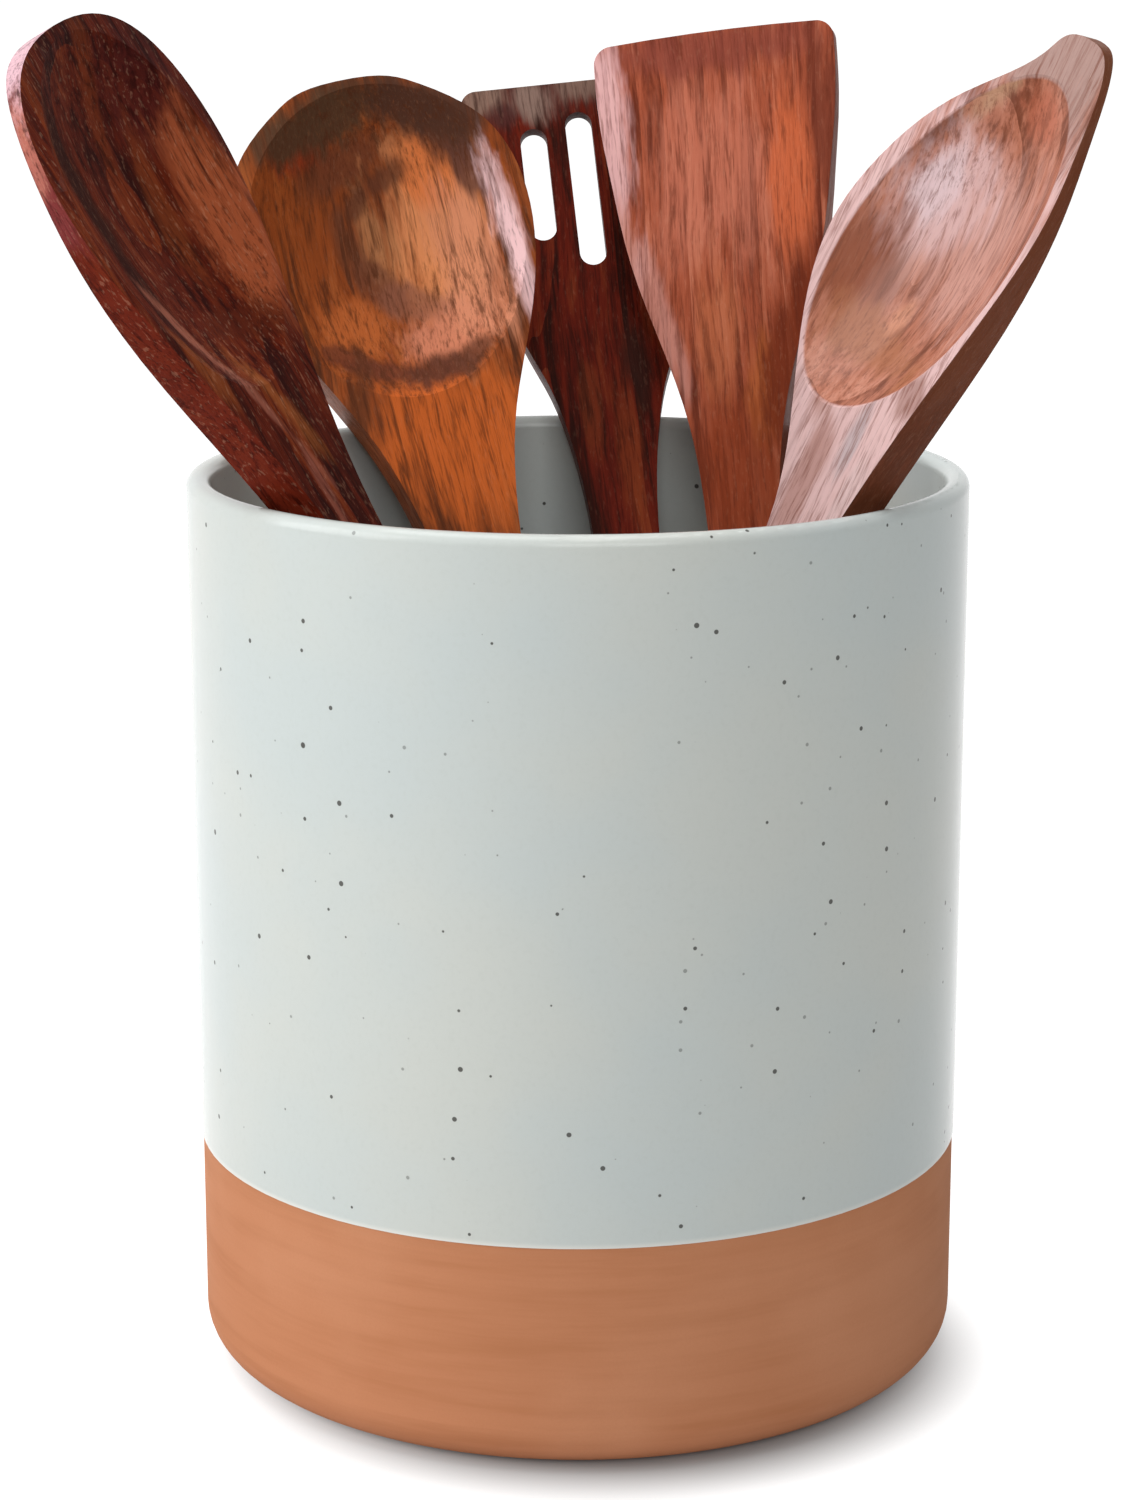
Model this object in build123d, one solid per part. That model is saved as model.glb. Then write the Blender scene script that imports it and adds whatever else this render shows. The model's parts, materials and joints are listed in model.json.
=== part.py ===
from build123d import *
import math
import os

os.makedirs("parts", exist_ok=True)

# Glazed terracotta crock holding five carved wooden utensils. Millimetres, +Z up.
# The origin is the centre of the flat base, and the front looks along -Y.

# Crock
crock_height = 186.0
crock_diameter = 160.0
wall_thickness = 5.0
floor_thickness = 5.6
base_corner_radius = 8.8
inner_corner_chamfer = 6.0
lip_radius = 2.3
glaze_thickness = 0.3
glaze_line_height = 47.0

# Fits and working allowances
floor_clearance = 0.4
rim_clearance = 1.0
cut_overrun = 5.0
lift_overrun = 5.0
full_turn = 360.0
settling_passes = 3

# Utensil handles
handle_width = 13.0
handle_thickness = 9.0

# Where each utensil stands: its end on the floor as an angle and a share of the inner radius,
# the angle at which its neck leans on the rim, and the turn of its face about its own length
oval_foot_angle = -30.0
oval_foot_share = 0.82
oval_lean_angle = -144.0
oval_turn = 62.0

round_foot_angle = -20.0
round_foot_share = 0.28
round_lean_angle = 120.0
round_turn = 13.0

slotted_foot_angle = -38.5
slotted_foot_share = 0.51
slotted_lean_angle = 83.5
slotted_turn = 3.0

flat_foot_angle = -10.0
flat_foot_share = 0.64
flat_lean_angle = 55.5
flat_turn = -13.0

corner_foot_angle = 176.0
corner_foot_share = 0.41
corner_lean_angle = -38.0
corner_turn = -52.0

# Oval spoon
oval_length = 308.0
oval_neck_height = 181.0
oval_neck_width = 12.5
oval_neck_thickness = 9.5
oval_head_width = 56.0
oval_head_thickness = 10.5
oval_tip_thickness = 6.0
oval_crown_reach = 55.0
oval_bowl_width = 50.0
oval_bowl_length = 76.0
oval_bowl_share = 0.57
oval_bowl_depth = 7.5
oval_bowl_land = 2.2

# Round spoon
round_length = 273.0
round_neck_height = 115.0
round_neck_width = 14.0
round_neck_thickness = 11.0
round_head_width = 64.5
round_head_thickness = 13.0
round_tip_thickness = 5.0
round_tip_offset = -5.0
round_crown_reach = 77.0
round_bowl_width = 60.0
round_bowl_length = 70.0
round_bowl_share = 0.55
round_bowl_depth = 9.0
round_bowl_land = 1.8
round_bowl_offset = -3.0

# Corner spoon
corner_length = 303.0
corner_neck_height = 180.0
corner_neck_width = 15.0
corner_neck_thickness = 9.5
corner_head_width = 51.0
corner_head_thickness = 10.5
corner_tip_thickness = 5.0
corner_crown_reach = 45.0
corner_bowl_width = 40.3
corner_bowl_length = 81.5
corner_bowl_share = 0.43
corner_bowl_depth = 7.5
corner_bowl_height = 249.0
corner_bowl_offset = -3.6
corner_bowl_tilt = 18.5

# Slotted turner
slotted_length = 281.0
slotted_neck_height = 160.0
slotted_neck_width = 14.0
slotted_neck_thickness = 9.0
slotted_head_width = 52.0
slotted_tip_thickness = 3.0
slotted_corner_radius = 3.5
slot_width = 6.0
slot_pitch = 10.5
middle_slot_length = 37.0
side_slot_length = 27.0
middle_slot_land = 7.5
side_slot_land = 10.5

# Flat turner
flat_length = 277.5
flat_neck_height = 150.0
flat_neck_width = 15.0
flat_neck_thickness = 12.5
flat_head_width = 54.0
flat_tip_thickness = 3.0
flat_corner_radius = 4.0
flat_top_rise = 0.6

# Sizes that follow from those above
outer_radius = crock_diameter / 2
inner_radius = outer_radius - wall_thickness
clay_radius = outer_radius - glaze_thickness
clay_inner_radius = inner_radius + glaze_thickness
clay_height = crock_height - glaze_thickness
clay_floor_height = floor_thickness - glaze_thickness
middle_of_wall = (clay_radius + clay_inner_radius) / 2
face_y = -handle_thickness / 2

# Outlines of the heads, from the neck to the tip: across as shares of half the head's width,
# along as shares of the head's length
oval_side_shares = [(0.54, 0.37), (0.86, 0.57), (1.0, 0.74), (0.88, 0.895)]
round_side_shares = [(0.33, 0.373), (0.494, 0.498), (0.75, 0.611), (0.94, 0.715), (1.0, 0.80), (0.85, 0.912),
                     (0.5, 0.974)]
corner_right_shares = [(0.37, 0.18), (0.55, 0.39), (0.77, 0.60), (0.86, 0.75), (0.80, 0.89), (0.70, 0.975)]
corner_left_shares = [(-0.50, 0.19), (-0.98, 0.38), (-1.14, 0.52), (-0.98, 0.655), (-0.47, 0.82), (0.12, 0.953)]
corner_tip_share = 0.50
slotted_side_shares = [(0.32, 0.22), (0.42, 0.34), (0.50, 0.40), (0.69, 0.50), (0.87, 0.68)]
flat_side_shares = [(0.315, 0.20), (0.385, 0.31), (0.575, 0.457), (0.80, 0.615), (0.925, 0.77)]


def crock_clay():
    # The clay's lip is cut at an angle under the rounder lip of the glaze
    clay_lip = lip_radius - glaze_thickness
    with BuildSketch() as half:
        with BuildLine():
            Line((0, 0), (clay_radius - base_corner_radius, 0))
            RadiusArc(
                (clay_radius - base_corner_radius, 0), (clay_radius, base_corner_radius), -base_corner_radius
            )
            Polyline(
                (clay_radius, base_corner_radius),
                (clay_radius, clay_height - clay_lip),
                (clay_radius - clay_lip, clay_height),
                (clay_inner_radius + clay_lip, clay_height),
                (clay_inner_radius, clay_height - clay_lip),
                (clay_inner_radius, clay_floor_height + inner_corner_chamfer),
                (clay_inner_radius - inner_corner_chamfer, clay_floor_height),
                (0, clay_floor_height),
                (0, 0),
            )
        make_face()
    return Plane.XZ * half.sketch


def crock_glaze_skin():
    # The glazed envelope: outside down to the glaze line, inside over the floor, and closed
    # through the middle of the clay, which is taken away from it
    buried_height = clay_floor_height / 2
    lip_height = crock_height - lip_radius
    with BuildSketch() as half:
        with BuildLine():
            Polyline(
                (0, buried_height),
                (0, floor_thickness),
                (inner_radius - inner_corner_chamfer, floor_thickness),
                (inner_radius, floor_thickness + inner_corner_chamfer),
                (inner_radius, lip_height),
            )
            RadiusArc((inner_radius, lip_height), (inner_radius + lip_radius, crock_height), lip_radius)
            Line((inner_radius + lip_radius, crock_height), (outer_radius - lip_radius, crock_height))
            RadiusArc((outer_radius - lip_radius, crock_height), (outer_radius, lip_height), lip_radius)
            Polyline(
                (outer_radius, lip_height),
                (outer_radius, glaze_line_height),
                (middle_of_wall, glaze_line_height),
                (inner_radius, buried_height),
                (0, buried_height),
            )
        make_face()
    return Plane.XZ * half.sketch


def outline_face(width_at_neck, neck_height, curves):
    # The whole front outline of a utensil: its round end, its handle and the curves of its head,
    # which run up from both sides of the neck
    end_radius = handle_width / 2
    half_neck = width_at_neck / 2
    with BuildSketch() as face:
        with BuildLine():
            ThreePointArc((-end_radius, end_radius), (0, 0), (end_radius, end_radius))
            Line((end_radius, end_radius), (half_neck, neck_height))
            curves()
            Line((-half_neck, neck_height), (-end_radius, end_radius))
        make_face()
    return Plane.XZ.offset(-face_y) * face.sketch


def head_points(shares, head_width, neck_height, length, tip_offset=0):
    # Points of a head's outline, which bends sideways to its tip by the tip's offset
    points = []
    for across, along in shares:
        x = across * head_width / 2 + along**2 * tip_offset
        points.append((x, neck_height + along * (length - neck_height)))
    return points


def mirrored(shares):
    return [(-across, along) for across, along in shares]


def round_head(neck_width, neck_height, right, tip, left):
    # Curves up the two sides of a head, which meet at its tip
    up, leftwards, rightwards = (0, 1), (-1, 0), (1, 0)
    Spline((neck_width / 2, neck_height), *right, tip, tangents=[up, leftwards])
    Spline((-neck_width / 2, neck_height), *left, tip, tangents=[up, rightwards])


def past_tip(line_points):
    # The last stretch of a back, carried on in line past the tip so that none of its edges falls there
    (height, thickness), (tip_height, tip_thickness) = line_points[-2:]
    slope = (tip_thickness - thickness) / (tip_height - height)
    return [*line_points[:-1], (tip_height + cut_overrun, tip_thickness + slope * cut_overrun)]


def crowned_back(line_points, crown_reach):
    # Everything in front of a back that is turned about an axis ahead of the face, so that it is
    # crowned across; line_points are heights and thicknesses, from the handle's end to the tip
    axis_y = face_y - crown_reach
    on_line = [(axis_y - crown_reach - thickness, height) for height, thickness in past_tip(line_points)]
    low = -cut_overrun
    with BuildSketch(Plane.YZ) as half:
        with BuildLine():
            Line((axis_y, low), (on_line[0][0], low))
            Line((on_line[0][0], low), on_line[0])
            Line(on_line[0], on_line[1])
            Spline(*on_line[1:], tangents=[direction(on_line[0], on_line[1]), tip_direction(on_line)])
            Polyline(on_line[-1], (axis_y, on_line[-1][1]), (axis_y, low))
        make_face()
    return revolve(half.sketch, Axis((0, axis_y, 0), (0, 0, 1)), full_turn)


def direction(start, end):
    return Vector(end[0] - start[0], end[1] - start[1]).normalized()


def tip_direction(points):
    return direction(points[-2], points[-1])


def flat_back(line_points, width):
    # Everything in front of a back that is straight across
    points = [(face_y + thickness, height) for height, thickness in past_tip(line_points)]
    low = -cut_overrun
    front_y = face_y - cut_overrun
    with BuildSketch(Plane.YZ) as side:
        with BuildLine():
            Polyline(points[-1], (front_y, points[-1][1]), (front_y, low), (points[0][0], low), points[0], points[1])
            Spline(*points[1:], tangents=[direction(points[0], points[1]), tip_direction(points)])
        make_face()
    return extrude(side.sketch, amount=width, both=True)


def scoop(width, length, middle_share, depth):
    # A cutter turned about an axis ahead of the face, which leaves a bowl of this width, length and
    # depth in a flat face. Its deepest place is at the origin, this share of the way up the bowl
    reach = ((width / 2) ** 2 - depth**2) / (2 * depth)
    clear_reach = reach - min(cut_overrun, reach / 2)
    axis_y = -reach
    ends = []
    for half_length in (length * middle_share, length * (1 - middle_share)):
        sweep_radius = (half_length**2 + depth**2) / (2 * depth)
        ends.append(math.sqrt(sweep_radius**2 - (sweep_radius - depth - reach + clear_reach) ** 2))
    deepest = (axis_y - reach - depth, 0)
    low = (axis_y - clear_reach, -ends[0])
    high = (axis_y - clear_reach, ends[1])
    with BuildSketch(Plane.YZ) as half:
        with BuildLine():
            TangentArc(deepest, low, tangent=(0, -1))
            TangentArc(deepest, high, tangent=(0, 1))
            Polyline(high, (axis_y, ends[1]), (axis_y, -ends[0]), low)
        make_face()
    return revolve(half.sketch, Axis((0, axis_y, 0), (0, 0, 1)), full_turn)


def oval_spoon():
    right = head_points(oval_side_shares, oval_head_width, oval_neck_height, oval_length)
    left = head_points(mirrored(oval_side_shares), oval_head_width, oval_neck_height, oval_length)

    def curves():
        round_head(oval_neck_width, oval_neck_height, right, (0, oval_length), left)

    outline = outline_face(oval_neck_width, oval_neck_height, curves)
    bowl_height = oval_length - oval_bowl_land - oval_bowl_length * (1 - oval_bowl_share)
    back = crowned_back(
        [
            (0, handle_thickness),
            (oval_neck_height, oval_neck_thickness),
            (bowl_height, oval_head_thickness),
            (oval_length, oval_tip_thickness),
        ],
        oval_crown_reach,
    )
    bowl = Pos(0, face_y, bowl_height) * scoop(oval_bowl_width, oval_bowl_length, oval_bowl_share, oval_bowl_depth)
    return (extrude(outline, amount=-oval_head_thickness * 2) & back) - bowl


def round_spoon():
    head = (round_head_width, round_neck_height, round_length, round_tip_offset)
    right = head_points(round_side_shares, *head)
    left = head_points(mirrored(round_side_shares), *head)

    def curves():
        round_head(round_neck_width, round_neck_height, right, (round_tip_offset, round_length), left)

    outline = outline_face(round_neck_width, round_neck_height, curves)
    bowl_height = round_length - round_bowl_land - round_bowl_length * (1 - round_bowl_share)
    back = crowned_back(
        [
            (0, handle_thickness),
            (round_neck_height, round_neck_thickness),
            (bowl_height, round_head_thickness),
            (round_length, round_tip_thickness),
        ],
        round_crown_reach,
    )
    bowl = scoop(round_bowl_width, round_bowl_length, round_bowl_share, round_bowl_depth)
    bowl = Pos(round_bowl_offset, face_y, bowl_height) * bowl
    return (extrude(outline, amount=-round_head_thickness * 2) & back) - bowl


def corner_spoon():
    left = head_points(corner_left_shares, corner_head_width, corner_neck_height, corner_length)
    right = head_points(corner_right_shares, corner_head_width, corner_neck_height, corner_length)
    tip = (corner_tip_share * corner_head_width / 2, corner_length)

    def curves():
        round_head(corner_neck_width, corner_neck_height, right, tip, left)

    outline = outline_face(corner_neck_width, corner_neck_height, curves)
    back = crowned_back(
        [
            (0, handle_thickness),
            (corner_neck_height, corner_neck_thickness),
            (corner_bowl_height, corner_head_thickness),
            (corner_length, corner_tip_thickness),
        ],
        corner_crown_reach,
    )
    bowl = scoop(corner_bowl_width, corner_bowl_length, corner_bowl_share, corner_bowl_depth)
    bowl = Pos(corner_bowl_offset, face_y, corner_bowl_height) * Rot(0, corner_bowl_tilt, 0) * bowl
    return (extrude(outline, amount=-corner_head_thickness * 2) & back) - bowl


def slot(width, length):
    # A slot of this width and length through the face, with round ends and its top at the origin
    face = Plane.XZ * Pos(0, -length / 2) * Rot(0, 0, 90) * SlotOverall(length, width)
    return extrude(face, amount=handle_thickness * 2, both=True)


def slotted_turner():
    right = head_points(slotted_side_shares, slotted_head_width, slotted_neck_height, slotted_length)
    left = head_points(mirrored(slotted_side_shares), slotted_head_width, slotted_neck_height, slotted_length)
    half_neck = slotted_neck_width / 2
    half_head = slotted_head_width / 2

    def curves():
        corner_height = slotted_length - slotted_corner_radius
        flat_half = half_head - slotted_corner_radius
        rise = (0, 1)
        Spline((half_neck, slotted_neck_height), *right, (half_head, corner_height), tangents=[rise, rise])
        RadiusArc((half_head, corner_height), (flat_half, slotted_length), -slotted_corner_radius)
        Line((flat_half, slotted_length), (-flat_half, slotted_length))
        RadiusArc((-flat_half, slotted_length), (-half_head, corner_height), -slotted_corner_radius)
        Spline((-half_neck, slotted_neck_height), *left, (-half_head, corner_height), tangents=[rise, rise])

    outline = outline_face(slotted_neck_width, slotted_neck_height, curves)
    back = flat_back(
        [(0, handle_thickness), (slotted_neck_height, slotted_neck_thickness), (slotted_length, slotted_tip_thickness)],
        slotted_head_width,
    )
    turner = extrude(outline, amount=-slotted_neck_thickness * 2) & back
    turner -= Pos(0, 0, slotted_length - middle_slot_land) * slot(slot_width, middle_slot_length)
    for side_of_middle in (-1, 1):
        place = Pos(side_of_middle * slot_pitch, 0, slotted_length - side_slot_land)
        turner -= place * slot(slot_width, side_slot_length)
    return turner


def flat_turner():
    right = head_points(flat_side_shares, flat_head_width, flat_neck_height, flat_length)
    left = head_points(mirrored(flat_side_shares), flat_head_width, flat_neck_height, flat_length)
    half_neck = flat_neck_width / 2
    half_head = flat_head_width / 2

    def curves():
        shoulder_height = flat_length - flat_top_rise
        corner_height = shoulder_height - flat_corner_radius
        flat_half = half_head - flat_corner_radius
        rise = (0, 1)
        Spline((half_neck, flat_neck_height), *right, (half_head, corner_height), tangents=[rise, rise])
        RadiusArc((half_head, corner_height), (flat_half, shoulder_height), -flat_corner_radius)
        ThreePointArc((flat_half, shoulder_height), (0, flat_length), (-flat_half, shoulder_height))
        RadiusArc((-flat_half, shoulder_height), (-half_head, corner_height), -flat_corner_radius)
        Spline((-half_neck, flat_neck_height), *left, (-half_head, corner_height), tangents=[rise, rise])

    outline = outline_face(flat_neck_width, flat_neck_height, curves)
    back = flat_back(
        [(0, handle_thickness), (flat_neck_height, flat_neck_thickness), (flat_length, flat_tip_thickness)],
        flat_head_width,
    )
    return extrude(outline, amount=-flat_neck_thickness * 2) & back


def lean_radius(lean_angle, placement, along, neck):
    # How far from the middle the handle's centre line crosses the rim when the nearest corner of
    # the neck, given by its box, is one clearance from the glazed wall
    reach = inner_radius - rim_clearance
    radii = []
    for x in (neck.min.X, neck.max.X):
        for y in (neck.min.Y, neck.max.Y):
            aside = (placement * Pos(x, y, 0)).position - placement.position
            level = aside - along * (aside.Z / along.Z)
            corner = level.rotate(Axis.Z, -lean_angle)
            radii.append(math.sqrt(reach**2 - corner.Y**2) - corner.X)
    return min(radii)


def stand(utensil, foot_angle, foot_share, lean_angle, turn):
    # Stands a utensil in the crock, its end just above the floor and its neck against the rim
    foot = Vector(foot_share * inner_radius, 0, floor_thickness).rotate(Axis.Z, foot_angle)
    lean_reach = inner_radius
    for _ in range(settling_passes):
        lean = Vector(lean_reach, 0, crock_height).rotate(Axis.Z, lean_angle)
        along = (lean - foot).normalized()
        across = along.cross(Vector(0, -1, 0)).normalized()
        placement = Plane(foot, x_dir=across, z_dir=along).location * Rot(0, 0, turn)
        neck = section(utensil, section_by=Plane.XY.offset((lean - foot).length)).bounding_box()
        lean_reach = lean_radius(lean_angle, placement, along, neck)
    standing = placement * utensil
    rise = (floor_thickness + floor_clearance - standing.bounding_box().min.Z) / along.Z
    travel = (crock_height - floor_thickness) / along.Z + lift_overrun
    print("lifts along", [round(value, 4) for value in along], "by", round(travel, 1))
    return Pos(*(along * rise)) * standing


clay_section = crock_clay()
parts = {
    "crock_body": revolve(clay_section, Axis.Z, full_turn),
    "crock_glaze": revolve(crock_glaze_skin() - clay_section, Axis.Z, full_turn),
    "oval_spoon": stand(oval_spoon(), oval_foot_angle, oval_foot_share, oval_lean_angle, oval_turn),
    "round_spoon": stand(round_spoon(), round_foot_angle, round_foot_share, round_lean_angle, round_turn),
    "slotted_turner": stand(
        slotted_turner(), slotted_foot_angle, slotted_foot_share, slotted_lean_angle, slotted_turn
    ),
    "flat_turner": stand(flat_turner(), flat_foot_angle, flat_foot_share, flat_lean_angle, flat_turn),
    "corner_spoon": stand(corner_spoon(), corner_foot_angle, corner_foot_share, corner_lean_angle, corner_turn),
}

for name, solid in parts.items():
    export_step(solid, f"parts/{name}.step")
    print(name, "volume", round(solid.volume), "valid", solid.is_valid)
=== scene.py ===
import bpy
import json
import math
from mathutils import Matrix, Vector

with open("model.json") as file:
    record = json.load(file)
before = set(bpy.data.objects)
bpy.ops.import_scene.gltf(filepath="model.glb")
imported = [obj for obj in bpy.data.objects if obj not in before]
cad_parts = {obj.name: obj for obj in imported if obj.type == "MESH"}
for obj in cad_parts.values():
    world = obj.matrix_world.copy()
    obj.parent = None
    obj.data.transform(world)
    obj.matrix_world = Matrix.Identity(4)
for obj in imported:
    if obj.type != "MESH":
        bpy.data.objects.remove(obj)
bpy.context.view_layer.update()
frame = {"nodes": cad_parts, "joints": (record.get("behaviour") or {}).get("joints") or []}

nodes = frame["nodes"]
print("frame loaded:", ", ".join(sorted(nodes)))


camera = {
    "place": (0.0, -0.7344, 0.3017),
    "pitch": 76.6,              # degrees up from looking straight down
    "lens": 86.73,
    "sensorWidth": 36,
    "shiftX": -0.0109,
    "clipEnd": 50,
}


def placeCamera():
    data = bpy.data.cameras.new("photoCamera")
    data.lens = camera["lens"]
    data.sensor_width = camera["sensorWidth"]
    data.shift_x = camera["shiftX"]
    data.clip_end = camera["clipEnd"]
    holder = bpy.data.objects.new("photoCamera", data)
    holder.location = camera["place"]
    holder.rotation_euler = (math.radians(camera["pitch"]), 0, 0)
    bpy.context.scene.collection.objects.link(holder)
    bpy.context.scene.camera = holder


placeCamera()
bpy.context.scene.view_settings.view_transform = "Standard"
print("camera placed")


def startMaterial(name):
    # a new material with its shader wired to the output
    material = bpy.data.materials.new(name)
    material.use_nodes = True
    tree = material.node_tree
    tree.nodes.clear()
    output = tree.nodes.new("ShaderNodeOutputMaterial")
    shader = tree.nodes.new("ShaderNodeBsdfPrincipled")
    tree.links.new(shader.outputs["BSDF"], output.inputs["Surface"])
    return material, tree, shader


def setShader(shader, values):
    for name, value in values.items():
        shader.inputs[name].default_value = value


def addNode(tree, kind, settings=None, **inputs):
    # an input is given by its name, or as at0, at1 and so on by its place
    node = tree.nodes.new(kind)
    for key, value in (settings or {}).items():
        setattr(node, key, value)
    for key, value in inputs.items():
        socket = node.inputs[int(key[2:])] if key.startswith("at") else node.inputs[key]
        if isinstance(value, bpy.types.NodeSocket):
            tree.links.new(value, socket)
        else:
            socket.default_value = value
    return node


def calculate(tree, operation, a, b):
    return addNode(tree, "ShaderNodeMath", {"operation": operation}, at0=a, at1=b).outputs[0]


def addShares(tree, first, firstShare, second, secondShare):
    return calculate(tree, "ADD", calculate(tree, "MULTIPLY", first, firstShare),
                     calculate(tree, "MULTIPLY", second, secondShare))


def fade(tree, value, low, high, toLow=0.0, toHigh=1.0):
    # a smooth step, from toLow at low to toHigh at high
    node = addNode(tree, "ShaderNodeMapRange", {"interpolation_type": "SMOOTHSTEP"}, Value=value)
    limits = {"From Min": low, "From Max": high, "To Min": toLow, "To Max": toHigh}
    for name, number in limits.items():
        node.inputs[name].default_value = number
    return node.outputs["Result"]


def between(tree, value, low, high, ease):
    # 1 from low to high, easing to 0 on both sides
    rise = fade(tree, value, low - ease, low)
    fall = fade(tree, value, high, high + ease, 1.0, 0.0)
    return calculate(tree, "MULTIPLY", rise, fall)


def asColour(value):
    return value if isinstance(value, bpy.types.NodeSocket) else (*value, 1.0)


def blendColours(tree, share, first, second, mode="MIX"):
    # the second colour takes this share of the result
    settings = {"data_type": "RGBA", "blend_type": mode}
    return addNode(tree, "ShaderNodeMix", settings, at0=share, at6=asColour(first),
                   at7=asColour(second)).outputs[2]


def noiseAt(tree, where, scale, detail, roughness, distortion=0.0):
    return addNode(tree, "ShaderNodeTexNoise", Vector=where, Scale=scale, Detail=detail,
                   Roughness=roughness, Distortion=distortion)


def mapped(tree, where, location=(0, 0, 0), rotation=(0, 0, 0), scale=(1, 1, 1), kind="POINT"):
    return addNode(tree, "ShaderNodeMapping", {"vector_type": kind}, Vector=where,
                   Location=location, Rotation=rotation, Scale=scale).outputs[0]


def objectCoords(tree):
    return tree.nodes.new("ShaderNodeTexCoord").outputs["Object"]


def partOf(tree, vector, axis):
    return addNode(tree, "ShaderNodeSeparateXYZ", Vector=vector).outputs[axis]


def addBump(tree, shader, height, strength, distance):
    bump = addNode(tree, "ShaderNodeBump", Height=height, Strength=strength, Distance=distance)
    tree.links.new(bump.outputs[0], shader.inputs["Normal"])


def giveMaterial(nodeName, material):
    piece = nodes[nodeName]
    if len(piece.material_slots) == 0:
        piece.data.materials.append(material)
    for slot in piece.material_slots:
        slot.material = material


# A noise is its scale, detail and roughness, and a range is where a fade starts and ends.
glaze = {
    "colour": (0.565, 0.590, 0.555),
    "cooler": (0.530, 0.580, 0.570),
    "cloudNoise": (13.0, 3.0, 0.55),
    "cloudRange": (0.35, 0.66),
    "mottle": (0.40, 0.43, 0.39),
    "mottleNoise": (900.0, 2.0, 0.6),
    "mottleRange": (0.45, 0.80),
    "mottleShare": 0.10,
    "line": (0.74, 0.73, 0.68),         # painted highlight along the rounded lower edge of the glaze
    "lineHeight": 0.047,
    "lineFade": 0.0012,
    "lineShare": 0.70,
    "speckle": (0.040, 0.036, 0.030),
    # spacing of the cells, radius of a speckle, share of the cells with one, how dark
    "speckles": (
        (0.0056, 0.00064, 0.70, 0.88),
        (0.0048, 0.00048, 0.60, 0.50),
        (0.0240, 0.00110, 0.60, 0.92),
    ),
    "speckleEdge": 0.00013,
    "smallestSpeckle": 0.55,            # of the radius
    "layerShift": (0.013, 0.021, 0.007),
    "crowdNoise": (40.0, 1.0, 0.5),     # crowded and bare areas
    "roughness": 0.16,
    "ior": 1.4,
    "specular": 0.22,
    "coat": 0.10,
    "coatRoughness": 0.06,
    "rippleNoise": (22.0, 2.0, 0.5),
    "rippleSquash": 3,
    "rippleStrength": 0.25,
    "rippleHeight": 0.0005,
}


def addSpeckles(tree, where, colour):
    # iron spots: small balls scattered through space, seen where the surface cuts them
    crowd = noiseAt(tree, where, *glaze["crowdNoise"]).outputs["Fac"]
    smallest = glaze["smallestSpeckle"]
    for index, (spacing, radius, share, dark) in enumerate(glaze["speckles"]):
        shift = [index * step for step in glaze["layerShift"]]
        cells = addNode(tree, "ShaderNodeTexVoronoi", Vector=mapped(tree, where, location=shift),
                        Scale=1.0 / spacing, Randomness=1.0)
        lot = addNode(tree, "ShaderNodeSeparateColor", Color=cells.outputs["Color"])
        grown = addNode(tree, "ShaderNodeMath", {"operation": "MULTIPLY_ADD"},
                        at0=lot.outputs["Red"], at1=1.0 - smallest, at2=smallest).outputs[0]
        size = calculate(tree, "MULTIPLY", grown, radius / spacing)
        inside = calculate(tree, "SUBTRACT", size, cells.outputs["Distance"])
        dot = fade(tree, inside, 0.0, glaze["speckleEdge"] / spacing, 0.0, dark)
        chance = calculate(tree, "ADD", crowd, share - 0.5)
        chosen = calculate(tree, "SUBTRACT", chance, lot.outputs["Green"])
        chosen = calculate(tree, "GREATER_THAN", chosen, 0.0)
        shown = calculate(tree, "MULTIPLY", dot, chosen)
        colour = blendColours(tree, shown, colour, glaze["speckle"])
    return colour


def makeGlaze():
    material, tree, shader = startMaterial("speckledGlaze")
    where = objectCoords(tree)
    cloud = noiseAt(tree, where, *glaze["cloudNoise"]).outputs["Fac"]
    clouded = fade(tree, cloud, *glaze["cloudRange"])
    colour = blendColours(tree, clouded, glaze["colour"], glaze["cooler"])
    fine = noiseAt(tree, where, *glaze["mottleNoise"]).outputs["Fac"]
    mottled = fade(tree, fine, *glaze["mottleRange"], 0.0, glaze["mottleShare"])
    colour = blendColours(tree, mottled, colour, glaze["mottle"])
    # a painted highlight: a lighter band just above the glaze's lower edge
    aboveLine = calculate(tree, "SUBTRACT", partOf(tree, where, "Z"), glaze["lineHeight"])
    edge = fade(tree, aboveLine, 0.0, glaze["lineFade"], glaze["lineShare"], 0.0)
    colour = blendColours(tree, edge, colour, glaze["line"])
    colour = addSpeckles(tree, where, colour)
    tree.links.new(colour, shader.inputs["Base Color"])
    setShader(shader, {
        "Roughness": glaze["roughness"],
        "IOR": glaze["ior"],
        "Specular IOR Level": glaze["specular"],
        "Coat Weight": glaze["coat"],
        "Coat Roughness": glaze["coatRoughness"],
    })
    squashed = mapped(tree, where, scale=(1, 1, glaze["rippleSquash"]))
    ripple = noiseAt(tree, squashed, *glaze["rippleNoise"]).outputs["Fac"]
    addBump(tree, shader, ripple, glaze["rippleStrength"], glaze["rippleHeight"])
    return material


giveMaterial("crock_glaze", makeGlaze())
print("glaze done")


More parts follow.
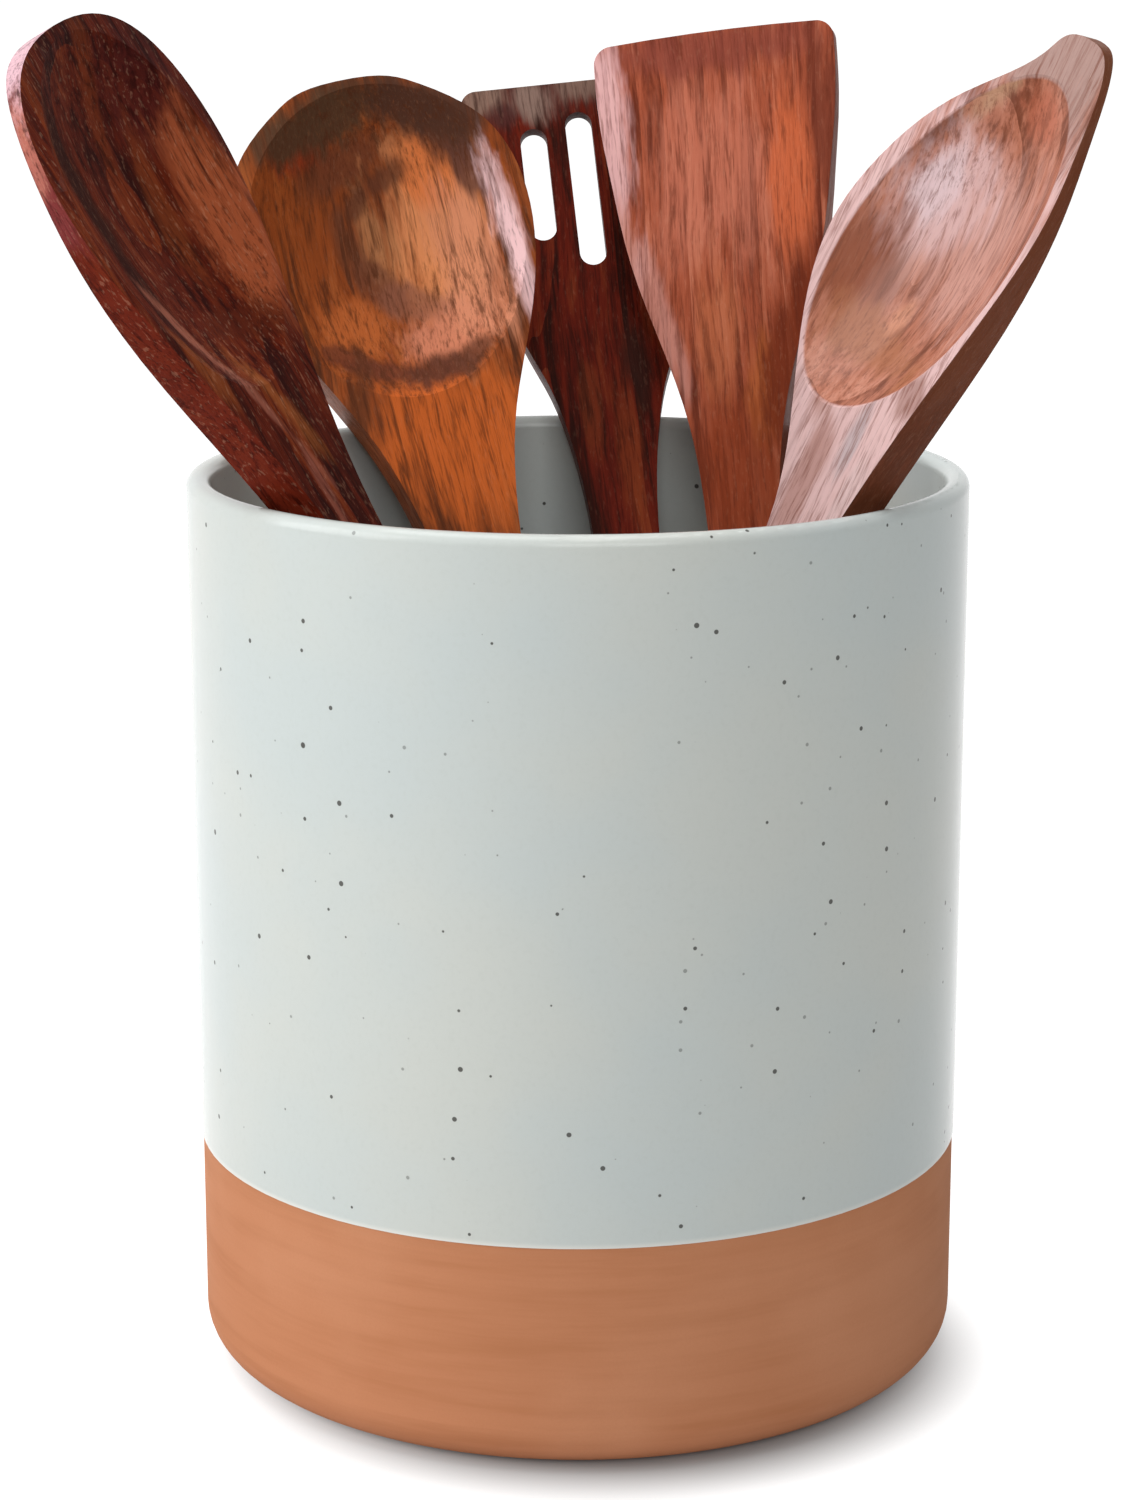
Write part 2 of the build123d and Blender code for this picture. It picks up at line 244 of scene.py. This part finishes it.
clay = {
    "colour": (0.515, 0.214, 0.106),
    "paler": (0.570, 0.258, 0.140),
    "darker": (0.455, 0.180, 0.083),
    "bandNoise": (14.0, 4.0, 0.6),
    "bandStretch": 14,                  # how much longer than tall the marks of the wheel are
    "bandRange": (0.30, 0.62),
    "cloudNoise": (22.0, 3.0, 0.5),
    "cloudRange": (0.42, 0.75),
    "cloudShare": 0.7,
    "gritNoise": (1900.0, 2.0, 0.7),
    "gritRange": (0.30, 0.75),
    "gritShare": 0.16,
    "roughness": 0.80,
    "specular": 0.15,
    "bandRelief": 0.8,
    "gritRelief": 0.20,
    "reliefStrength": 0.30,
    "reliefHeight": 0.0003,
}


def makeClay():
    material, tree, shader = startMaterial("bareTerracotta")
    where = objectCoords(tree)
    level = mapped(tree, where, scale=(1, 1, clay["bandStretch"]))
    bands = noiseAt(tree, level, *clay["bandNoise"]).outputs["Fac"]
    colour = blendColours(tree, fade(tree, bands, *clay["bandRange"]), clay["darker"],
                          clay["colour"])
    cloud = noiseAt(tree, where, *clay["cloudNoise"]).outputs["Fac"]
    clouded = fade(tree, cloud, *clay["cloudRange"], 0.0, clay["cloudShare"])
    colour = blendColours(tree, clouded, colour, clay["paler"])
    grit = noiseAt(tree, where, *clay["gritNoise"]).outputs["Fac"]
    gritty = fade(tree, grit, *clay["gritRange"], 0.0, clay["gritShare"])
    colour = blendColours(tree, gritty, colour, clay["darker"])
    tree.links.new(colour, shader.inputs["Base Color"])
    setShader(shader, {
        "Roughness": clay["roughness"],
        "Specular IOR Level": clay["specular"],
    })
    ridges = addShares(tree, bands, clay["bandRelief"], grit, clay["gritRelief"])
    addBump(tree, shader, ridges, clay["reliefStrength"], clay["reliefHeight"])
    return material


giveMaterial("crock_body", makeClay())
print("bare clay done")


# What all the wood shares. A noise is its scale, detail, roughness and distortion, and how much
# it is shrunk along the length, which draws the grain out.
grain = {
    "drift": ((30.0, 3.0, 0.5, 0.0), 0.35),
    "driftReach": (0.010, 0.010, 0.0),
    "streaks": ((560.0, 5.0, 0.65, 0.3), 1 / 14),
    "broad": ((75.0, 4.0, 0.55, 0.0), 0.20),
    "fibres": ((1500.0, 3.0, 0.7, 0.0), 0.06),
    "soft": ((85.0, 2.0, 0.5, 0.0), 0.45),
    "split": ((420.0, 3.0, 0.6, 0.0), 0.16),
    "torn": ((1500.0, 2.0, 0.6, 0.0), 0.30),
    "ringShrink": 0.12,
    "ringDistortion": 2.5,
    "ringDetail": 3.0,
    "ringShare": 0.12,                  # of the tone, beside the streaks and broad bands
    "darkTones": (0.38, 0.52),
    "lightTones": (0.50, 0.66),
    "raggedness": 1.5,                  # of the edges of a patch
    "patchEdge": (0.48, 1.34),
    "streakRange": (0.32, 0.49),
    "poreRange": (0.30, 0.52),
    "poreShare": 0.62,
    "paleFibreRange": (0.56, 0.78),
    "paleFibreShare": 0.20,
    "dashRange": (0.56, 0.70),
    "dash": (0.90, 0.50, 0.32),
}
woodFinish = {
    "faceDepth": -0.0045,               # where the flat face is on the utensil's axis through it
    "bowlRange": (0.00010, 0.00045),    # how far below that face the bowl's figure fades in
    "sideRange": (0.25, 0.60),          # how squarely a surface looks forward, 1 is the face
    "wornRange": (0.45, 0.72),
    "wornEase": 0.12,
    "wornEdge": 0.45,
    "roughness": 0.40,
    "rougher": 0.10,
    "smoother": 0.06,
    "glossRange": (0.30, 0.70),
    "specular": 0.04,
    "coatRoughness": 0.20,
    "reliefStrength": 0.45,
    "reliefHeight": 0.0005,
}
edges = {
    "weld": 0.00001,
    "width": 0.0010,
    "segments": 3,
    "sharpAngle": 38,
}


def grainTurn(nodeName, turn):
    # the utensil's own axes: across its face, through its thickness and along its length
    for joint in frame["joints"]:
        if joint["child"] == nodeName:
            along = Vector(joint["axis"]).normalized()
    across = along.cross(Vector((0, -1, 0))).normalized()
    deep = along.cross(across)
    upright = Matrix((across, deep, along)).transposed()
    return (upright @ Matrix.Rotation(math.radians(turn), 3, "Z")).to_euler("XYZ")


def grainNoise(tree, where, name):
    noise, shrink = grain[name]
    return noiseAt(tree, mapped(tree, where, scale=(1, 1, shrink)), *noise)


def addPatches(tree, local, ragged, colour, patches, where=1.0):
    # patches of figure, and of painted sheen, highlight and shade, whose edges are ragged along
    # the grain
    for (across, along), (halfWide, halfLong), turn, patchColour, strength in patches:
        centred = mapped(tree, local, location=(-across, 0, -along))
        turned = mapped(tree, centred, rotation=(0, math.radians(turn), 0))
        sized = mapped(tree, turned, scale=(1 / halfWide, 0, 1 / halfLong))
        reach = addNode(tree, "ShaderNodeVectorMath", {"operation": "LENGTH"}, at0=sized)
        uneven = calculate(tree, "ADD", reach.outputs["Value"], ragged)
        share = fade(tree, uneven, *grain["patchEdge"], strength, 0.0)
        share = calculate(tree, "MULTIPLY", share, where)
        colour = blendColours(tree, share, colour, patchColour)
    return colour


def addRings(tree, where, wood):
    # growth rings round the heart of the branch
    acrossHeart, deepHeart = wood["heart"]
    space = mapped(tree, where, location=(-acrossHeart, -deepHeart, 0),
                   scale=(1, 1, grain["ringShrink"]))
    kind = {"wave_type": "RINGS", "rings_direction": "Z", "wave_profile": "SAW"}
    # this texture repeats every pi / 10 of its own units
    return addNode(tree, "ShaderNodeTexWave", kind, Vector=space,
                   Scale=math.pi / 10 / wood["ring"], Distortion=grain["ringDistortion"],
                   Detail=grain["ringDetail"]).outputs["Fac"]


def makeWood(nodeName, wood):
    material, tree, shader = startMaterial(nodeName + "_carvedWood")
    axes = grainTurn(nodeName, wood["turn"])
    local = mapped(tree, objectCoords(tree), wood["foot"], axes, kind="TEXTURE")

    # the grain wanders a little along the length
    drift = grainNoise(tree, local, "drift").outputs["Color"]
    push = addNode(tree, "ShaderNodeVectorMath", {"operation": "MULTIPLY_ADD"}, at0=drift,
                   at1=grain["driftReach"], at2=local).outputs[0]
    streaks = grainNoise(tree, push, "streaks").outputs["Fac"]
    broad = grainNoise(tree, push, "broad").outputs["Fac"]
    fibres = grainNoise(tree, push, "fibres").outputs["Fac"]
    rings = addRings(tree, push, wood)
    tone = addShares(tree, broad, 0.50, streaks, 0.50)
    tone = addShares(tree, tone, 1 - grain["ringShare"], rings, grain["ringShare"])
    colour = blendColours(tree, fade(tree, tone, *grain["darkTones"]), wood["dark"],
                          wood["middle"])
    colour = blendColours(tree, fade(tree, tone, *grain["lightTones"]), colour, wood["light"])

    soft = grainNoise(tree, push, "soft").outputs["Fac"]
    split = grainNoise(tree, push, "split").outputs["Fac"]
    ragged = addShares(tree, calculate(tree, "SUBTRACT", soft, 0.5), grain["raggedness"],
                       calculate(tree, "SUBTRACT", split, 0.5), grain["raggedness"])
    colour = addPatches(tree, local, ragged, colour, wood.get("patches", ()))

    # the bowl begins where the wood falls away from the flat face
    depth = calculate(tree, "SUBTRACT", partOf(tree, local, "Y"), woodFinish["faceDepth"])
    inBowl = fade(tree, depth, *woodFinish["bowlRange"])
    onFace = calculate(tree, "SUBTRACT", 1.0, inBowl)
    colour = addPatches(tree, local, ragged, colour, wood.get("bowlPatches", ()), inBowl)
    colour = addPatches(tree, local, ragged, colour, wood.get("facePatches", ()), onFace)

    # painted shading: the sides and back take a colour of their own, darker than the face on most
    # utensils and lighter on the oval spoon, and the eased edge between is rubbed pale
    normal = tree.nodes.new("ShaderNodeTexCoord").outputs["Normal"]
    turned = mapped(tree, normal, rotation=axes, kind="TEXTURE")
    facing = calculate(tree, "MULTIPLY", partOf(tree, turned, "Y"), -1.0)
    side = fade(tree, facing, *woodFinish["sideRange"], wood["sidesShare"], 0.0)
    colour = blendColours(tree, side, colour, wood["sides"])
    colour = addPatches(tree, local, ragged, colour, wood.get("sidePatches", ()), side)
    rubbed = between(tree, facing, *woodFinish["wornRange"], woodFinish["wornEase"])
    worn = calculate(tree, "MULTIPLY", rubbed, woodFinish["wornEdge"])
    colour = blendColours(tree, calculate(tree, "MULTIPLY", worn, broad), colour, wood["light"])

    # fine dark streaks, pores and pale fibres over the figure
    lines = fade(tree, streaks, *grain["streakRange"], wood["streaks"], 0.0)
    colour = blendColours(tree, lines, colour, wood["dark"])
    pores = fade(tree, fibres, *grain["poreRange"], grain["poreShare"], 0.0)
    colour = blendColours(tree, pores, colour, wood["dark"])
    fine = fade(tree, fibres, *grain["paleFibreRange"], 0.0, grain["paleFibreShare"])
    colour = blendColours(tree, fine, colour, wood["light"])

    # short pale dashes, left where the blade tore the grain
    torn = grainNoise(tree, push, "torn").outputs["Fac"]
    dashes = fade(tree, torn, *grain["dashRange"], 0.0, wood["dashes"])
    dashes = calculate(tree, "MULTIPLY", dashes, broad)
    colour = blendColours(tree, dashes, colour, grain["dash"], "SCREEN")
    tree.links.new(colour, shader.inputs["Base Color"])

    gloss = fade(tree, streaks, *woodFinish["glossRange"],
                 woodFinish["roughness"] + woodFinish["rougher"],
                 woodFinish["roughness"] - woodFinish["smoother"])
    tree.links.new(gloss, shader.inputs["Roughness"])
    setShader(shader, {
        "Specular IOR Level": woodFinish["specular"],
        "Coat Roughness": woodFinish["coatRoughness"],
    })
    if "polish" in wood:
        forward = fade(tree, facing, *woodFinish["sideRange"], 0.0, wood["polish"])
        polished = calculate(tree, "MULTIPLY", inBowl, forward)
        tree.links.new(polished, shader.inputs["Coat Weight"])
    relief = addShares(tree, fibres, 0.5, streaks, 0.5)
    addBump(tree, shader, relief, woodFinish["reliefStrength"], woodFinish["reliefHeight"])
    return material


def easeEdges(nodeName):
    piece = nodes[nodeName]
    weld = piece.modifiers.new("weldFaces", "WELD")
    weld.merge_threshold = edges["weld"]
    ease = piece.modifiers.new("easeEdges", "BEVEL")
    ease.width = edges["width"]
    ease.segments = edges["segments"]
    ease.limit_method = "ANGLE"
    ease.angle_limit = math.radians(edges["sharpAngle"])
    ease.use_clamp_overlap = True


def finishUtensil(nodeName, wood):
    giveMaterial(nodeName, makeWood(nodeName, wood))
    easeEdges(nodeName)
    print(nodeName, "done")


# Each utensil is carved from its own piece of wood. foot is where its handle's end stands, turn is
# how its face is turned, heart is where the heart of the branch was (across, through), ring is the
# width of a growth ring and polish is the coat in the bowl. A patch is its centre (across, along),
# its half sizes, its turn in degrees, its colour and its strength. Most patches are figure, and
# some are painted sheen, highlight or shade, marked where they stand. Those called patches go all
# over the utensil, and the others stay in the bowl, on the flat face or on the sides. The sides
# and back also take a painted shading colour of their own.
ovalSpoon = {
    "foot": (0.0518, -0.0308, 0.0082),
    "turn": 62.0,
    "dark": (0.022, 0.002, 0.001),
    "middle": (0.100, 0.011, 0.003),
    "light": (0.210, 0.038, 0.009),
    "sides": (0.150, 0.017, 0.007),
    "sidesShare": 0.80,
    "streaks": 0.70,
    "dashes": 0.20,
    "heart": (0.012, 0.050),
    "ring": 0.0070,
    "patches": (
        ((0.0150, 0.288), (0.012, 0.014), 0, (0.075, 0.011, 0.009), 0.80),
        ((0.0030, 0.292), (0.0025, 0.018), -10, (0.240, 0.045, 0.012), 0.45),
        ((0.0080, 0.270), (0.0030, 0.018), -8, (0.220, 0.045, 0.012), 0.60),
        ((0.0200, 0.262), (0.0085, 0.024), 0, (0.380, 0.090, 0.033), 0.90),
        ((0.0050, 0.242), (0.0100, 0.004), -20, (0.080, 0.012, 0.004), 0.70),
        # painted shade: a dark band down the bowl's left inner wall
        ((-0.0150, 0.284), (0.0038, 0.026), 5, (0.020, 0.004, 0.002), 0.90),
        ((-0.0124, 0.248), (0.0014, 0.012), 15, (0.360, 0.120, 0.075), 0.75),
        ((-0.0060, 0.227), (0.0013, 0.017), 17, (0.340, 0.115, 0.075), 0.65),
        ((-0.0030, 0.206), (0.0012, 0.011), 0, (0.300, 0.100, 0.070), 0.55),
        ((-0.0005, 0.225), (0.0024, 0.015), 16, (0.330, 0.095, 0.025), 0.65),
        ((-0.0164, 0.241), (0.0022, 0.009), 14, (0.260, 0.065, 0.016), 0.65),
    ),
    "sidePatches": (
        # painted sheen on the side near the tip: whitish pink at the top, salmon below it,
        # purple-brown where it fades
        ((-0.0270, 0.280), (0.0200, 0.010), 0, (0.230, 0.045, 0.050), 0.75),
        ((-0.0240, 0.293), (0.0200, 0.009), 0, (0.560, 0.190, 0.140), 0.85),
        ((-0.0140, 0.306), (0.0200, 0.009), 0, (0.820, 0.540, 0.610), 0.94),
    ),
}

finishUtensil("oval_spoon", ovalSpoon)


roundSpoon = {
    "foot": (0.0192, -0.0066, 0.0076),
    "turn": 13.0,
    "dark": (0.085, 0.024, 0.009),
    "middle": (0.250, 0.054, 0.012),
    "light": (0.400, 0.110, 0.030),
    "sides": (0.120, 0.036, 0.014),
    "sidesShare": 0.60,
    "streaks": 0.75,
    "dashes": 0.05,
    "heart": (0.004, 0.035),
    "ring": 0.0080,
    "patches": (
        ((0.0000, 0.190), (0.0220, 0.020), 0, (0.660, 0.135, 0.022), 0.80),
        ((-0.0230, 0.246), (0.0090, 0.016), 0, (0.300, 0.066, 0.014), 0.75),
        ((-0.0180, 0.260), (0.0080, 0.005), 0, (0.270, 0.035, 0.010), 0.80),
        ((-0.0080, 0.256), (0.0120, 0.005), 15, (0.150, 0.042, 0.018), 0.85),
        ((0.0090, 0.236), (0.0125, 0.024), -2, (0.680, 0.245, 0.095), 0.95),
        ((0.0100, 0.252), (0.0060, 0.008), 0, (0.680, 0.180, 0.050), 0.90),
        ((-0.0050, 0.240), (0.0050, 0.011), 0, (0.420, 0.165, 0.065), 0.90),
        ((-0.0146, 0.219), (0.0075, 0.007), 0, (0.480, 0.120, 0.030), 0.80),
        ((0.0060, 0.215), (0.0130, 0.007), 15, (0.600, 0.210, 0.120), 0.85),
        # paler orange wood, which also widens the painted sheen on the bowl's right edge
        ((0.0150, 0.227), (0.0085, 0.017), 0, (0.640, 0.250, 0.140), 0.70),
        ((-0.0012, 0.251), (0.0030, 0.0065), -62, (0.110, 0.034, 0.016), 0.80),
        ((-0.0080, 0.2465), (0.0030, 0.0055), -50, (0.120, 0.038, 0.018), 0.78),
        ((-0.0107, 0.239), (0.0036, 0.0080), 4, (0.140, 0.044, 0.020), 0.75),
        ((-0.0070, 0.229), (0.0040, 0.0080), 31, (0.150, 0.048, 0.024), 0.78),
        ((-0.0005, 0.223), (0.0046, 0.0070), 66, (0.240, 0.085, 0.050), 0.75),
        ((0.0140, 0.259), (0.0050, 0.0085), 29, (0.085, 0.030, 0.018), 0.93),
        ((0.0190, 0.249), (0.0034, 0.0085), 22, (0.120, 0.045, 0.030), 0.88),
        ((-0.0130, 0.2655), (0.0200, 0.0058), 15, (0.085, 0.040, 0.020), 0.96),
        ((0.0120, 0.2640), (0.0160, 0.0060), -26, (0.075, 0.030, 0.018), 0.96),
        ((-0.0180, 0.2130), (0.0060, 0.0024), -28, (0.130, 0.034, 0.018), 0.80),
        ((-0.0100, 0.2085), (0.0085, 0.0026), -18, (0.120, 0.032, 0.017), 0.82),
        ((0.0010, 0.2065), (0.0095, 0.0036), 4, (0.085, 0.026, 0.015), 0.90),
        ((0.0100, 0.2090), (0.0050, 0.0026), 25, (0.110, 0.036, 0.020), 0.75),
        ((-0.0190, 0.200), (0.0030, 0.013), -18, (0.100, 0.030, 0.012), 0.75),
        # painted sheen along the right edge of the bowl
        ((0.0238, 0.230), (0.0034, 0.020), 3, (0.860, 0.560, 0.570), 0.92),
    ),
}

finishUtensil("round_spoon", roundSpoon)


slottedTurner = {
    "foot": (0.0296, -0.0226, 0.0081),
    "turn": 3.0,
    "dark": (0.024, 0.004, 0.002),
    "middle": (0.115, 0.010, 0.004),
    "light": (0.200, 0.034, 0.011),
    "sides": (0.060, 0.012, 0.007),
    "sidesShare": 0.60,
    "streaks": 0.65,
    "dashes": 0.05,
    "heart": (-0.020, 0.060),
    "ring": 0.0060,
    "patches": (
        ((-0.0100, 0.282), (0.0340, 0.0085), 0, (0.090, 0.034, 0.027), 0.92),
        ((-0.0215, 0.279), (0.0075, 0.0045), 20, (0.260, 0.160, 0.120), 0.80),
        ((-0.0100, 0.278), (0.0050, 0.0055), 30, (0.270, 0.175, 0.140), 0.80),
        ((0.0015, 0.280), (0.0075, 0.0045), 0, (0.240, 0.150, 0.115), 0.75),
        ((-0.0170, 0.274), (0.0040, 0.0040), 0, (0.060, 0.022, 0.020), 0.75),
        ((0.0030, 0.192), (0.0028, 0.018), 0, (0.230, 0.045, 0.012), 0.45),
        ((-0.0045, 0.203), (0.0022, 0.012), 0, (0.240, 0.045, 0.014), 0.45),
        ((0.0065, 0.214), (0.0032, 0.010), 0, (0.026, 0.008, 0.005), 0.85),
    ),
}

finishUtensil("slotted_turner", slottedTurner)


flatTurner = {
    "foot": (0.0472, -0.0077, 0.0074),
    "turn": -13.0,
    "dark": (0.120, 0.022, 0.010),
    "middle": (0.350, 0.078, 0.036),
    "light": (0.500, 0.160, 0.090),
    "sides": (0.130, 0.030, 0.016),
    "sidesShare": 0.70,
    "streaks": 0.55,
    "dashes": 0.08,
    "heart": (0.090, 0.010),
    "ring": 0.0052,
    "patches": (
        ((-0.0020, 0.245), (0.0140, 0.024), 0, (0.540, 0.170, 0.105), 0.62),
        ((0.0000, 0.2735), (0.0320, 0.0055), 0, (0.230, 0.052, 0.034), 0.80),
        ((0.0000, 0.178), (0.0150, 0.018), 0, (0.250, 0.042, 0.013), 0.80),
        ((-0.0030, 0.214), (0.0055, 0.016), 0, (0.470, 0.130, 0.055), 0.65),
        ((0.0060, 0.197), (0.0034, 0.013), 0, (0.440, 0.110, 0.030), 0.70),
        ((0.0160, 0.242), (0.0050, 0.020), 0, (0.550, 0.120, 0.045), 0.88),
        ((0.0255, 0.245), (0.0045, 0.036), 4, (0.160, 0.034, 0.018), 0.88),
        ((0.0140, 0.208), (0.0050, 0.026), -18, (0.170, 0.026, 0.008), 0.88),
        # painted sheen along the left edge, pinkish at the top and fading lower down
        ((-0.0250, 0.258), (0.0050, 0.032), 3, (0.740, 0.430, 0.425), 0.88),
        ((-0.0180, 0.220), (0.0036, 0.026), 18, (0.540, 0.240, 0.195), 0.70),
    ),
}

finishUtensil("flat_turner", flatTurner)


cornerSpoon = {
    "foot": (-0.0299, 0.0017, 0.0075),
    "turn": -52.0,
    "dark": (0.170, 0.048, 0.024),
    "middle": (0.420, 0.150, 0.090),
    "light": (0.540, 0.235, 0.160),
    "sides": (0.130, 0.036, 0.014),
    "sidesShare": 0.92,
    "polish": 0.35,
    "streaks": 0.40,
    "dashes": 0.06,
    "heart": (-0.010, 0.060),
    "ring": 0.0065,
    "bowlPatches": (
        ((-0.0010, 0.258), (0.0160, 0.022), -18, (0.580, 0.310, 0.260), 0.75),
        ((-0.0220, 0.241), (0.0095, 0.010), -10, (0.240, 0.062, 0.024), 0.85),
        ((-0.0060, 0.230), (0.0160, 0.0055), 0, (0.360, 0.130, 0.060), 0.80),
        ((-0.0068, 0.2365), (0.0024, 0.0050), -20, (0.600, 0.250, 0.140), 0.70),
        ((0.0065, 0.285), (0.0060, 0.0055), 0, (0.460, 0.130, 0.070), 0.75),
        ((-0.0160, 0.274), (0.0045, 0.011), -16, (0.110, 0.034, 0.024), 0.85),
        ((-0.0040, 0.287), (0.0100, 0.0030), 60, (0.460, 0.270, 0.160), 0.70),
        # painted highlight in the upper left of the bowl: pale pink round a paler core
        ((-0.0090, 0.262), (0.0095, 0.013), -15, (0.680, 0.455, 0.450), 0.75),
        ((-0.0120, 0.2625), (0.0042, 0.0075), -15, (0.720, 0.560, 0.590), 0.70),
    ),
    "facePatches": (
        # the pale face is partly pale worn wood and partly a painted sheen, with brown mottling on
        # it
        ((0.0000, 0.225), (0.0600, 0.070), 0, (0.710, 0.480, 0.470), 0.94),
        ((0.0100, 0.302), (0.0300, 0.020), 0, (0.390, 0.252, 0.222), 0.95),
        ((0.0029, 0.214), (0.0020, 0.010), 0, (0.420, 0.370, 0.390), 0.60),
        ((0.0114, 0.228), (0.0040, 0.0045), 0, (0.300, 0.150, 0.120), 0.65),
        ((-0.0050, 0.200), (0.0034, 0.016), 0, (0.400, 0.200, 0.165), 0.70),
        ((-0.0100, 0.218), (0.0030, 0.008), 10, (0.420, 0.215, 0.175), 0.70),
        ((0.0080, 0.200), (0.0030, 0.014), 0, (0.680, 0.500, 0.490), 0.60),
    ),
    "sidePatches": (
        # the side's painted shade, darkest low down and lighter near the top
        ((0.0100, 0.215), (0.0300, 0.014), 0, (0.085, 0.022, 0.009), 0.70),
        ((0.0200, 0.300), (0.0200, 0.016), 0, (0.190, 0.070, 0.036), 0.60),
    ),
}

finishUtensil("corner_spoon", cornerSpoon)


stage = {
    "floorSize": 40.0,
    "floorColour": (0.70, 0.70, 0.70),
    "shadowColour": (0.33, 0.33, 0.33),     # the same floor to the camera and in reflections
    "floorRoughness": 0.9,
    "nearGlow": 0.02,           # seen only by the camera and in reflections, where 1 is white; low near the crock, leaving a painted shadow round its base with the lamps' own shadow in it
    "farGlow": 0.98,
    # the centre of the painted shadow, in front of and to the right of the crock's axis
    "paintedShadowCentre": (0.005, -0.014, 0.0),
    "glowFrom": 0.058,          # metres from that centre
    "glowTo": 0.088,
    "backdropLevel": 1.0,
    "worldLevel": 0.28,
}


def makeFloor():
    bpy.ops.object.select_all(action="DESELECT")
    bpy.ops.mesh.primitive_plane_add(size=stage["floorSize"], location=(0, 0, 0))
    floor = bpy.context.object
    floor.name = "studioFloor"
    material, tree, shader = startMaterial("paleFloor")
    setShader(shader, {
        "Roughness": stage["floorRoughness"],
        "Specular IOR Level": 0.0,
        "Emission Color": (1, 1, 1, 1),
    })
    path = tree.nodes.new("ShaderNodeLightPath").outputs
    seen = calculate(tree, "MAXIMUM", path["Is Camera Ray"], path["Is Glossy Ray"])
    colour = blendColours(tree, seen, stage["floorColour"], stage["shadowColour"])
    tree.links.new(colour, shader.inputs["Base Color"])
    away = addNode(tree, "ShaderNodeVectorMath", {"operation": "DISTANCE"},
                   at0=objectCoords(tree), at1=stage["paintedShadowCentre"]).outputs["Value"]
    glow = fade(tree, away, stage["glowFrom"], stage["glowTo"], stage["nearGlow"],
                stage["farGlow"])
    tree.links.new(calculate(tree, "MULTIPLY", seen, glow), shader.inputs["Emission Strength"])
    floor.data.materials.append(material)


def makeWorld():
    world = bpy.data.worlds.new("studioWorld")
    bpy.context.scene.world = world
    world.use_nodes = True
    tree = world.node_tree
    tree.nodes.clear()
    output = tree.nodes.new("ShaderNodeOutputWorld")
    backdrop = addNode(tree, "ShaderNodeBackground", Color=(1, 1, 1, 1),
                       Strength=stage["backdropLevel"])
    ambient = addNode(tree, "ShaderNodeBackground", Color=(1, 1, 1, 1),
                      Strength=stage["worldLevel"])
    path = tree.nodes.new("ShaderNodeLightPath").outputs
    bent = calculate(tree, "MAXIMUM", path["Is Glossy Ray"], path["Is Transmission Ray"])
    shown = calculate(tree, "MAXIMUM", path["Is Camera Ray"], bent)
    pick = addNode(tree, "ShaderNodeMixShader", Fac=shown, at1=ambient.outputs[0],
                   at2=backdrop.outputs[0])
    tree.links.new(pick.outputs[0], output.inputs["Surface"])


lamps = {
    # place, aimed at, size, power in watts, colour
    "leftWindow": ((-1.05, -0.30, 0.60), (0, 0, 0.13), (0.9, 0.9), 10.2, (1.0, 0.995, 0.99)),
    "frontSoft": ((0.25, -1.5, 0.9), (0, 0, 0.12), (1.0, 0.8), 9.0, (1.0, 1.0, 1.0)),
    "topSoft": ((-0.2, 0.1, 1.3), (0, 0, 0.15), (0.8, 0.8), 8.0, (1.0, 1.0, 1.0)),
}


def makeLamps():
    for name, (place, aim, size, power, colour) in lamps.items():
        data = bpy.data.lights.new(name, "AREA")
        data.shape = "RECTANGLE"
        data.size, data.size_y = size
        data.energy = power
        data.color = colour
        lamp = bpy.data.objects.new(name, data)
        lamp.location = place
        lamp.rotation_euler = (Vector(aim) - Vector(place)).to_track_quat("-Z", "Y").to_euler()
        bpy.context.scene.collection.objects.link(lamp)


makeFloor()
makeWorld()
makeLamps()
print("stage done")
